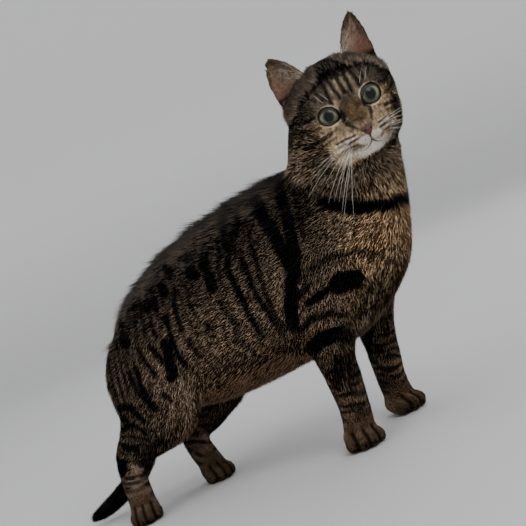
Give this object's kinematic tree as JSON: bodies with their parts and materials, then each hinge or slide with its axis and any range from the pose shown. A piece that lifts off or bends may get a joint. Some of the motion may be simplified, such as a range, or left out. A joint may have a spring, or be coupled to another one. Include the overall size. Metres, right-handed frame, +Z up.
{
  "type": "cat",
  "caption": "Life-size brown tabby shorthair cat, a still figure standing on all four paws, head turned to its right, tail down.",
  "frame": {"origin": "middle of the bounding box's underside, on the floor", "axes": "+X along the body towards the head, +Y to the cat's left, +Z up"},
  "size_m": [0.4512, 0.157, 0.3618],
  "materials": {
    "coat": "short dense fur",
    "ear_coat": "thin fur over skin",
    "eye": "wet and glossy"
  },
  "bodies": {
    "root": {"torso": "coat", "neck": "coat", "head": "coat", "ear_right": "ear_coat", "ear_left": "ear_coat", "eye_right": "eye", "eye_left": "eye", "upper_arm_right": "coat", "forearm_right": "coat", "forepaw_right": "coat", "upper_arm_left": "coat", "forearm_left": "coat", "forepaw_left": "coat", "thigh_right": "coat", "shank_right": "coat", "hindfoot_right": "coat", "thigh_left": "coat", "shank_left": "coat", "hindfoot_left": "coat", "tail_base": "coat", "tail_middle": "coat", "tail_end": "coat"}
  },
  "joints": []
}
